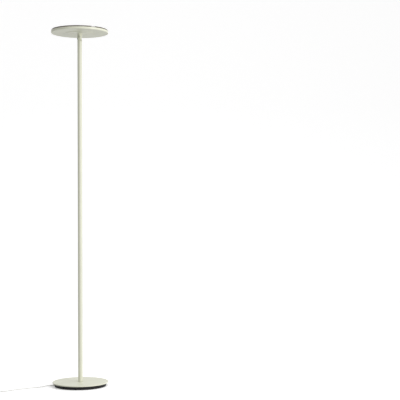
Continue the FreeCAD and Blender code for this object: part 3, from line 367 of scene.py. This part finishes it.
def ribbed_sleeve(mesh, start, along, root, tip, length, ribs):
    """Add a tapered sleeve with grooves round it, from its root at start to its tip, open for the lead."""
    lead = lead_diameter / 2
    outline = [(0, 0, 0), (root, 0, 0)]
    step = (length - 5 * mm) / ribs
    for i in range(ribs):
        groove = 2.2 * mm + i * step
        radius = root + (tip - root) * groove / length
        outline += [(radius, groove, 0), (radius - 0.6 * mm, groove + 0.3 * mm, 0),
                    (radius - 0.6 * mm, groove + 0.45 * step, 0), (radius, groove + 0.45 * step + 0.3 * mm, 0)]
    socket = length - 2 * mm
    outline += [(tip, length, 0.25 * mm), (lead, length, 0), (lead, socket, 0), (0, socket, 0)]
    sleeve = turned(outline, 48)
    turn = Vector((0, 0, 1)).rotation_difference(Vector(along)).to_matrix().to_4x4()
    sleeve.transform(Matrix.Translation(start) @ turn)
    bmesh.ops.recalc_face_normals(sleeve, faces=sleeve.faces)
    if sleeve.calc_volume(signed=True) < 0:
        bmesh.ops.reverse_faces(sleeve, faces=sleeve.faces)
    gathered = bpy.data.meshes.new("sleeve")
    sleeve.to_mesh(gathered)
    sleeve.free()
    mesh.from_mesh(gathered)
    bpy.data.meshes.remove(gathered)


# Clear plasticised PVC over pale conductors: milky, smooth, slightly waxy.
clear_pvc = finish("clear_pvc_lead", "#F7F7F4", "#F0F0EC", (0.22, 0.30), patch=20 * mm, grain=3.0 * mm,
                   depth=0.004 * mm, Transmission_Weight=0.2, IOR=1.54)
outward = Vector((-math.cos(exit_turn), -math.sin(exit_turn), 0))
exit_height = 7.6 * mm
relief_length = 24 * mm
relief = bmesh.new()
relief_start = outward * tray_high.x + Vector((0, 0, exit_height))
ribbed_sleeve(relief, relief_start, outward, 4.6 * mm, 3.2 * mm, relief_length, 6)
relief_piece = add_piece("lead_strain_relief", relief, [clear_pvc], "stand", ["strain_relief"])
dress(clear_pvc, "mains_lead_inner", "pole_lead", "head_lead")


# Mains lead: 5.5 mm clear PVC lead, about 1.95 m long. It leaves the base on the left, sinks to the floor,
# bends away to the foot switch, and its spare length is wound clockwise into a coil of two layers that ends at
# the plug. The route is in millimetres.
to_switch = ((-148.94, -20.93, 7.6), (-165, -23.19, 7.6), (-190, -28, 3.2), (-230, -40, 2.75),
             (-273, -61, 2.75), (-312, -87, 2.75), (-345, -113, 2.75), (-376, -127, 3.6),
             (-404, -130, 8), (-426, -130, 8))
through_switch = ((-449, -130, 8), (-473, -130, 8))
to_coil = ((-496, -130, 8), (-516, -130, 8), (-540, -131, 3.2), (-561, -130.2, 2.75))
to_plug = ((-560, -49.4, 8.25), (-545, -53.2, 7.5), (-530, -55, 6.85))
coil_middle = Vector((-575, -91.7, 0))
turn_radii = (38.5, 33, 27.5, 22, 22, 27.5, 33, 38.5, 44)
points_per_turn = 16
curve_shrink = 0.981
coil_turns = 7.5
climbing_turn = 3


def share(degrees, start, over):
    """How far an angle has gone through a stretch, from 0 to 1."""
    return min(max((degrees - start) / over, 0), 1)


# Each lower turn steps in towards the next one at its end, each upper turn steps out earlier, and between the
# two the innermost turn climbs onto the upper layer.
coil = []
for i in range(int(coil_turns * points_per_turn) + 1):
    whole_turn = i // points_per_turn
    degrees = 360.0 * (i % points_per_turn) / points_per_turn
    inward = share(degrees, 270, 90) ** 2
    outward = 1 - (1 - share(degrees, 150, 80)) ** 2
    shift = inward if whole_turn < climbing_turn else outward
    radius = turn_radii[whole_turn] + (turn_radii[whole_turn + 1] - turn_radii[whole_turn]) * shift
    climbed = share(degrees + 360 * (whole_turn - climbing_turn), 205, 80)
    height = lead_diameter / mm * (0.5 + climbed * climbed * (3 - 2 * climbed))
    bearing = math.radians(270 - degrees)
    coil.append((coil_middle.x + radius / curve_shrink * math.cos(bearing),
                 coil_middle.y + radius / curve_shrink * math.sin(bearing), height))
route = to_switch + through_switch + to_coil + tuple(coil) + to_plug
lead_curve = bpy.data.curves.new("mains_lead", "CURVE")
lead_curve.dimensions = "3D"
lead_curve.bevel_depth = lead_diameter / 2
lead_curve.bevel_resolution = 5
lead_curve.resolution_u = 6
lead_curve.use_fill_caps = True
spline = lead_curve.splines.new("NURBS")
spline.points.add(len(route) - 1)
for point, place in zip(spline.points, route):
    point.co = (place[0] * mm, place[1] * mm, place[2] * mm, 1)
spline.order_u = 3
spline.use_endpoint_u = True
lead_curve.materials.append(clear_pvc)
mains_lead = bpy.data.objects.new("mains_lead", lead_curve)
bpy.context.scene.collection.objects.link(mains_lead)
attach(mains_lead, "stand")
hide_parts("mains_cord", "mains_cord_tail", "mains_cord_coil", "mains_cord_end")


# Pole: three lengths of 22 mm steel tube, powder coated, screwed end to end on hidden sleeves. Each end is
# lightly chamfered, so a joint shows as a hairline.
tube_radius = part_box("pole_section_1")[1].x
tube_wall = 1.2 * mm
for index in (1, 2, 3):
    low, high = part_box("pole_section_%d" % index)
    tube = turned((
        (tube_radius - tube_wall, low.z, 0),
        (tube_radius, low.z, 0.35 * mm),
        (tube_radius, high.z, 0.35 * mm),
        (tube_radius - tube_wall, high.z, 0)), 96)
    add_piece("pole_tube_%d" % index, tube, [powder_coat], "stand", ["pole_section_%d" % index])


# Tilting knuckle: two half-round zinc castings, powder coated, lapped on a screw, with a fibre ring between
# them for friction. The screw head sits on the left, the nut under a cap on the right.
eased("knuckle_lower", "knuckle_lower_half", powder_coat, "stand", 0.3 * mm)
eased("knuckle_upper", "knuckle_upper_half", powder_coat, "head", 0.3 * mm)
eased("pivot_screw", "knuckle_screw", zinc_plate, "head", 0.15 * mm)
eased("pivot_cap", "knuckle_cap", powder_coat, "head", 0.1 * mm)
# Vulcanised fibre: brick red, dense, with a papery grain.
red_fibre = finish("vulcanised_fibre", "#7A3325", "#63281D", (0.55, 0.7), patch=2 * mm, grain=0.25 * mm,
                   depth=0.02 * mm)
dress(red_fibre, "friction_washer")


# Mounting plate: a round plate under the head, held by four countersunk screws; it carries the knuckle's neck.
eased("head_plate", "mounting_plate", powder_coat, "head", 0.15 * mm)
eased("plate_screws", "mounting_plate_screws", zinc_plate, "head", 0.1 * mm)


# Head pan: a shallow pan spun from 1 mm sheet steel, its wall and floor meeting over a small radius. It is
# powder coated like the pole.
shell_low, shell_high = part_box("head_shell")
pan_wall = 1.0 * mm
pan = turned((
    (0, shell_low.z + pan_wall, 0),
    (0, shell_low.z, 0),
    (shell_high.x, shell_low.z, 1.5 * mm),
    (shell_high.x, shell_high.z, 0.3 * mm),
    (shell_high.x - pan_wall, shell_high.z, 0.3 * mm),
    (shell_high.x - pan_wall, shell_low.z + pan_wall, 0.8 * mm)), 256)
add_piece("head_pan", pan, [powder_coat], "head", ["head_shell"])


# Glass seat: a turned aluminium ring inside the pan. The glass is bonded on its flange with a bead of grey
# silicone, and its skirt is the wall of the recess that the light comes out of.
seat_low, seat_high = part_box("glass_seat")
seat_inside = 126.5 * mm
skirt = 1.5 * mm
flange_under = seat_high.z - 2 * mm
seat = turned((
    (seat_inside, seat_low.z, 0.2 * mm),
    (seat_inside + skirt, seat_low.z, 0.2 * mm),
    (seat_inside + skirt, flange_under, 0.3 * mm),
    (seat_high.x, flange_under, 0.3 * mm),
    (seat_high.x, seat_high.z, 0.3 * mm),
    (seat_inside, seat_high.z, 0.5 * mm)), 256)
# Anodised aluminium, turned: a silvery satin with a fine even grain.
satin_aluminium = finish("satin_anodised_aluminium", "#CFCFCB", "#BFBFBA", (0.34, 0.46), 1.0, patch=20 * mm,
                         grain=0.2 * mm, depth=0.004 * mm)
add_piece("glass_seat_ring", seat, [satin_aluminium], "head", ["glass_seat"])
bead_low, bead_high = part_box("bond_ring")
bead_top = bead_high.z - 0.2 * mm
bead_inside = seat_inside + 0.5 * mm
bead = turned((
    (bead_inside, bead_low.z, 0),
    (bead_high.x, bead_low.z, 0),
    (bead_high.x, bead_top, 0.15 * mm),
    (bead_inside, bead_top, 0.15 * mm)), 256)
# Cured silicone: soft pale grey, dull, slightly uneven where it was smoothed.
grey_silicone = finish("grey_silicone", "#CFC9BE", "#C4BEB2", (0.5, 0.62), patch=10 * mm, grain=0.6 * mm,
                       depth=0.02 * mm)
add_piece("silicone_bead", bead, [grey_silicone], "head", ["bond_ring"])


# Light source: an aluminium-core board under white solder mask, with forty-eight light-emitting diodes in three
# rings. Each diode is a white package with a window of yellow phosphor, seen lit. A white film lines the pan
# around the board.
def add_painted_glow(material, near, far, strength):
    """Painted glow: warm emission on the surface that stands in for the light the lit diodes throw back from the
    glass, fading outwards from the middle of the head.
    """
    place = add_node(material, "ShaderNodeTexCoord").outputs["Object"]
    level = add_node(material, "ShaderNodeVectorMath", {"operation": "MULTIPLY"}, i0=place, i1=(1, 1, 0))
    away = add_node(material, "ShaderNodeVectorMath", {"operation": "LENGTH"}, i0=level.outputs[0])
    painted_glow_fade = add_node(material, "ShaderNodeMapRange", {"interpolation_type": "SMOOTHSTEP"},
                      i0=away.outputs["Value"], i1=near, i2=far, i3=strength, i4=0.0)
    shader = next(node for node in material.node_tree.nodes if node.type == "BSDF_PRINCIPLED")
    shader.inputs["Emission Color"].default_value = linear("#FFDDA8")
    material.node_tree.links.new(painted_glow_fade.outputs[0], shader.inputs["Emission Strength"])


# Painted glow: where the emission painted on the board and the film starts to fade, where it is gone, and how
# strong it is.
painted_glow_near = 50 * mm
painted_glow_far = 105 * mm
painted_glow_strength = 0.9
# White solder mask over aluminium: even, with a low gloss.
solder_mask = finish("white_solder_mask", "#F0EEE6", "#E6E3D8", (0.28, 0.38), patch=10 * mm, grain=0.8 * mm,
                     depth=0.008 * mm)
# Painted glow on the board: emission fading outwards, in place of diode light thrown back from the glass.
add_painted_glow(solder_mask, painted_glow_near, painted_glow_far, painted_glow_strength)
eased("led_board", "light_board", solder_mask, "head", 0.1 * mm)
# Diodes: white moulded cups, and a silicone window with phosphor in it that gives warm white light.
package = finish("white_diode_package", "#EFE9DA", "#E6DFCD", (0.4, 0.5), patch=2 * mm, grain=0.2 * mm,
                 depth=0.004 * mm)
phosphor = finish("lit_phosphor", "#FFDF8C", "#FFD36B", (0.4, 0.5), patch=1 * mm, grain=0.1 * mm,
                  depth=0.004 * mm, Emission_Color=linear("#FFDDA0"), Emission_Strength=120.0)
led_low, led_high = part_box("leds")
diodes = bmesh.new()
for ring_radius, count in ((30 * mm, 10), (42 * mm, 16), (54 * mm, 22)):
    for i in range(count):
        made = bmesh.ops.create_cube(diodes, size=1.0)["verts"]
        bmesh.ops.scale(diodes, vec=(3.5 * mm, 2.8 * mm, led_high.z - led_low.z), verts=made)
        bmesh.ops.translate(diodes, vec=(ring_radius, 0, (led_low.z + led_high.z) / 2), verts=made)
        turn = Matrix.Rotation(2 * math.pi * (i + 0.5) / count, 3, "Z")
        bmesh.ops.rotate(diodes, cent=(0, 0, 0), matrix=turn, verts=made)
        sides = {face for vert in made for face in vert.link_faces}
        top = max(sides, key=lambda face: face.calc_center_median().z)
        bmesh.ops.inset_individual(diodes, faces=[top], thickness=0.45 * mm, depth=0)
        bmesh.ops.inset_individual(diodes, faces=[top], thickness=0.15 * mm, depth=-0.15 * mm)
        top.material_index = 1
add_piece("diodes", diodes, [package, phosphor], "head", ["leds"])
film_low, film_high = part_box("reflector_sheet")
film_hole = 66.4 * mm
film = turned((
    (film_hole, film_low.z, 0),
    (film_high.x, film_low.z, 0),
    (film_high.x, film_high.z, 0.1 * mm),
    (film_hole, film_high.z, 0.1 * mm)), 192)
# Foamed polyester film: matt white, with a faint orange-peel.
white_film = finish("white_reflector_film", "#E4E2DA", "#DAD8CF", (0.6, 0.75), patch=20 * mm, grain=0.5 * mm,
                    depth=0.01 * mm)
# The same painted glow on the film: emission fading outwards from the middle.
add_painted_glow(white_film, painted_glow_near, painted_glow_far, painted_glow_strength)
add_piece("reflector_film", film, [white_film], "head", ["reflector_sheet"])


# Glass: a 5 mm disc of smoked float glass with ground and polished bevels. Seen flat it is grey-beige and clear
# enough to show the diodes; seen through its edge it is deep brown.
glass_low, glass_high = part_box("glass_disc")
glass_bevel = 0.8 * mm
disc = turned((
    (0, glass_high.z, 0),
    (0, glass_low.z, 0),
    (glass_high.x - glass_bevel, glass_low.z, 0),
    (glass_high.x, glass_low.z + glass_bevel, 0),
    (glass_high.x, glass_high.z - glass_bevel, 0),
    (glass_high.x - glass_bevel, glass_high.z, 0)), 256)
for face in disc.faces:
    face.material_index = int(abs(face.normal.z) < 0.9)
# Smoked soda-lime glass with a satin underside: it lets most light through and blurs it a little.
smoked = new_material("smoked_float_glass")
place = add_node(smoked, "ShaderNodeTexCoord").outputs["Object"]
waves = add_node(smoked, "ShaderNodeTexNoise", Vector=place, Scale=40.0, Detail=2.0)
haze = add_node(smoked, "ShaderNodeMapRange", i0=waves.outputs["Fac"], i3=0.13, i4=0.16)
smoked_shader = add_node(smoked, "ShaderNodeBsdfPrincipled", Base_Color=linear("#E8E1D6"),
                         Roughness=haze.outputs[0], IOR=1.52, Transmission_Weight=1.0)
add_node(smoked, "ShaderNodeOutputMaterial", Surface=smoked_shader.outputs[0])
# The edge: ground and polished, deep brown because it is seen through much glass, with sharp reflections.
glass_edge = finish("smoked_glass_edge", "#4A3A28", "#3A2C1C", (0.04, 0.08), patch=50 * mm, grain=1 * mm,
                    depth=0.001 * mm, IOR=1.52, Coat_Weight=1.0, Coat_Roughness=0.03)
add_piece("smoked_glass", disc, [smoked, glass_edge], "head", ["glass_disc"])


# Foot switch: two halves of white ABS screwed together from below, clamping the lead, with a round push button
# on top over a spring and a contact block.
def rounded_edges(mesh, edges, radius, segments):
    """Round edges over a radius."""
    bmesh.ops.bevel(mesh, geom=edges, offset=radius, offset_type="OFFSET", segments=segments, profile=0.5,
                    affect="EDGES", material=-1)


def rounded_block(low, high, corner):
    """Upright block with rounded corners between two points."""
    mesh = bmesh.new()
    bmesh.ops.create_cube(mesh, size=1.0)
    bmesh.ops.scale(mesh, vec=high - low, verts=mesh.verts)
    bmesh.ops.translate(mesh, vec=(low + high) / 2, verts=mesh.verts)
    upright = [e for e in mesh.edges if abs(e.verts[0].co.z - e.verts[1].co.z) > 1e-6]
    rounded_edges(mesh, upright, corner, 10)
    return mesh


def edge_loop(mesh, height):
    """Edges that lie at one height."""
    return [e for e in mesh.edges if all(abs(v.co.z - height) < 1e-6 for v in e.verts)]


case_low = Vector((-504, -155, 0)) * mm
case_high = Vector((-418, -105, 22)) * mm
case_split = 8 * mm
case_middle = (case_low + case_high) / 2
button_low, button_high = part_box("switch_button")
button_radius = 17 * mm
opening = button_radius + 0.35 * mm
case_corner = 14 * mm
upper = rounded_block(Vector((case_low.x, case_low.y, case_split)), case_high, case_corner)
rounded_edges(upper, edge_loop(upper, case_high.z), 3.5 * mm, 6)
caps = [f for f in upper.faces if abs(f.normal.z) > 0.99 and len(f.verts) > 4]
bmesh.ops.delete(upper, geom=caps, context="FACES_ONLY")
opening_place = Matrix.Translation((case_middle.x, case_middle.y, case_high.z))
rim = bmesh.ops.create_circle(upper, segments=64, radius=opening, matrix=opening_place)["verts"]
rim_edges = list({e for v in rim for e in v.link_edges})
boundary = [e for e in edge_loop(upper, case_high.z) if e.is_boundary]
bmesh.ops.bridge_loops(upper, edges=boundary + rim_edges)
bmesh.ops.recalc_face_normals(upper, faces=upper.faces)
case_upper = add_piece("switch_upper_case", upper, [white_abs], "stand", ["switch_cover"])
wall_thickness = case_upper.modifiers.new("wall", "SOLIDIFY")
wall_thickness.thickness = 1.9 * mm
wall_thickness.offset = -1.0
lower = rounded_block(case_low, Vector((case_high.x, case_high.y, case_split - 0.25 * mm)), case_corner)
rounded_edges(lower, edge_loop(lower, 0.0), 1.0 * mm, 3)
case_lower = add_piece("switch_lower_case", lower, [white_abs], "stand", ["switch_base"])
lip = 2 * mm
button = turned((
    (0, button_high.z, 0),
    (8 * mm, button_high.z, 0.4 * mm),
    (9 * mm, button_high.z - 0.5 * mm, 0.3 * mm),
    (10 * mm, button_high.z, 0.3 * mm),
    (11.5 * mm, button_high.z, 0.3 * mm),
    (12.5 * mm, button_high.z - 0.5 * mm, 0.3 * mm),
    (13.5 * mm, button_high.z, 0.3 * mm),
    (button_radius, button_high.z, 2.4 * mm),
    (button_radius, button_low.z + 3.4 * mm, 0.1 * mm),
    (button_radius + lip, button_low.z + 3.4 * mm, 0.2 * mm),
    (button_radius + lip, button_low.z + 1.9 * mm, 0.2 * mm),
    (button_radius - lip, button_low.z + 1.9 * mm, 0),
    (button_radius - lip, button_high.z - lip, 0.5 * mm),
    (3 * mm, button_high.z - lip, 0.3 * mm),
    (3 * mm, button_low.z, 0.3 * mm),
    (0, button_low.z, 0)), 96, (case_middle.x, case_middle.y))
button_piece = add_piece("foot_button", button, [white_abs], "button", ["switch_button"])
# Phenolic moulding: black, hard, with a low gloss.
phenolic = finish("black_phenolic", "#1B1A18", "#121110", (0.3, 0.42), patch=3 * mm, grain=0.4 * mm,
                  depth=0.01 * mm)
dress(phenolic, "switch_contacts")
spring_low, spring_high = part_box("button_spring")
spring_turns = 4
spring_steps = 24
wire = 0.4 * mm
spring = bmesh.new()
wire_start = Matrix.Translation((6 * mm, 0, spring_low.z + wire)) @ Matrix.Rotation(math.pi / 2, 4, "X")
bmesh.ops.create_circle(spring, cap_ends=True, segments=8, radius=wire, matrix=wire_start)
rise = (spring_high.z - spring_low.z - 2 * wire) / (spring_turns * spring_steps)
bmesh.ops.spin(spring, geom=spring.verts[:] + spring.edges[:] + spring.faces[:], cent=(0, 0, 0), axis=(0, 0, 1),
               dvec=(0, 0, rise), angle=2 * math.pi * spring_turns, steps=spring_turns * spring_steps)
bmesh.ops.remove_doubles(spring, verts=spring.verts, dist=0.001 * mm)
bmesh.ops.recalc_face_normals(spring, faces=spring.faces)
bmesh.ops.translate(spring, vec=(case_middle.x, case_middle.y, 0), verts=spring.verts)
spring_piece = add_piece("coil_spring", spring, [zinc_plate], "stand", ["button_spring"])
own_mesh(spring_piece)


# Coil tie: a flat strap of natural nylon, bent over the coil of spare lead and open below, where the coil
# rests on the floor.
tie_low, tie_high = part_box("cord_tie")
strap = 0.9 * mm
tie = bmesh.new()
bmesh.ops.create_cube(tie, size=1.0)
span = Vector((tie_high.x - tie_low.x - 2 * strap, tie_high.y - tie_low.y, tie_high.z - strap))
bmesh.ops.scale(tie, vec=span, verts=tie.verts)
tie_middle = ((tie_low.x + tie_high.x) / 2, (tie_low.y + tie_high.y) / 2, span.z / 2)
bmesh.ops.translate(tie, vec=tie_middle, verts=tie.verts)
open_sides = [f for f in tie.faces if abs(f.normal.y) > 0.9 or f.normal.z < -0.9]
bmesh.ops.delete(tie, geom=open_sides, context="FACES")
rounded_edges(tie, [e for e in edge_loop(tie, span.z) if not e.is_boundary], 2.5 * mm, 6)
bmesh.ops.recalc_face_normals(tie, faces=tie.faces)
# Natural nylon: off-white, a little translucent, with a waxy gloss.
nylon = finish("natural_nylon", "#E8E6DC", "#DEDBCF", (0.32, 0.44), patch=5 * mm, grain=0.5 * mm,
               depth=0.01 * mm, Subsurface_Weight=0.2, Subsurface_Scale=1 * mm)
tie_piece = add_piece("coil_tie", tie, [nylon], "stand", ["cord_tie"])
tie_wall = tie_piece.modifiers.new("strap", "SOLIDIFY")
tie_wall.thickness = strap
tie_wall.offset = 1.0


# Plug: a flat two-pin plug in white plastic, moulded on the lead with its own ribbed sleeve, lying flat. The
# pins are nickel-plated brass, sleeved in plastic next to the body.
plug_low, plug_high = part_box("plug_body")
plug_y = (plug_low.y + plug_high.y) / 2
sleeve_length = 24 * mm
plug_start = plug_low.x + sleeve_length
plug = bmesh.new()
half_width = 17.65 * mm
side = ((plug_start, 7 * mm), (plug_start + 12 * mm, half_width), (plug_high.x - 10 * mm, half_width),
        (plug_high.x, 12.8 * mm))
corners = [plug.verts.new((x, plug_y - y, 0)) for x, y in side]
corners += [plug.verts.new((x, plug_y + y, 0)) for x, y in reversed(side)]
walls = bmesh.ops.extrude_face_region(plug, geom=[plug.faces.new(corners)])["geom"]
raised = [v for v in walls if isinstance(v, bmesh.types.BMVert)]
bmesh.ops.translate(plug, vec=(0, 0, plug_high.z), verts=raised)
bmesh.ops.recalc_face_normals(plug, faces=plug.faces)
upright = [e for e in plug.edges if abs(e.verts[0].co.z - e.verts[1].co.z) > 1e-6]
rounded_edges(plug, upright, 3 * mm, 5)
rounded_edges(plug, edge_loop(plug, 0.0) + edge_loop(plug, plug_high.z), 1.5 * mm, 4)
plug_level = plug_high.z / 2
sunk = 1 * mm
sleeve_start = (plug_start + sunk, plug_y, plug_level)
ribbed_sleeve(plug, sleeve_start, (-1, 0, 0), 4.8 * mm, 3.2 * mm, sleeve_length + sunk, 6)
plug_piece = add_piece("plug_moulding", plug, [white_abs], "stand", ["plug_body"])
pins = bmesh.new()
pins_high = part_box("plug_pins")[1]
pin_radius = 2 * mm
pin_length = pins_high.x - plug_high.x
pin_spread = 9.3 * mm
pin_sleeve = 10 * mm
bare_radius = pin_radius - 0.1 * mm
for y in (plug_y - pin_spread, plug_y + pin_spread):
    turned((
        (0, 0, 0),
        (pin_radius, 0, 0),
        (pin_radius, pin_sleeve, 0),
        (bare_radius, pin_sleeve, 0),
        (bare_radius, pin_length, 1.2 * mm),
        (0, pin_length, 0)), 32, (0, y), pins)
for face in pins.faces:
    face.material_index = int(face.calc_center_median().z > pin_sleeve)
bmesh.ops.rotate(pins, cent=(0, 0, 0), matrix=Matrix.Rotation(math.pi / 2, 3, "Y"), verts=pins.verts)
bmesh.ops.translate(pins, vec=(plug_high.x, 0, plug_level), verts=pins.verts)
# Nickel plate on brass: bright, slightly warm.
nickel = finish("nickel_plated_brass", "#CFC9BC", "#BDB7A9", (0.16, 0.26), 1.0, patch=3 * mm, grain=0.3 * mm,
                depth=0.003 * mm)
pin_piece = add_piece("plug_contact_pins", pins, [white_abs, nickel], "stand", ["plug_pins"])
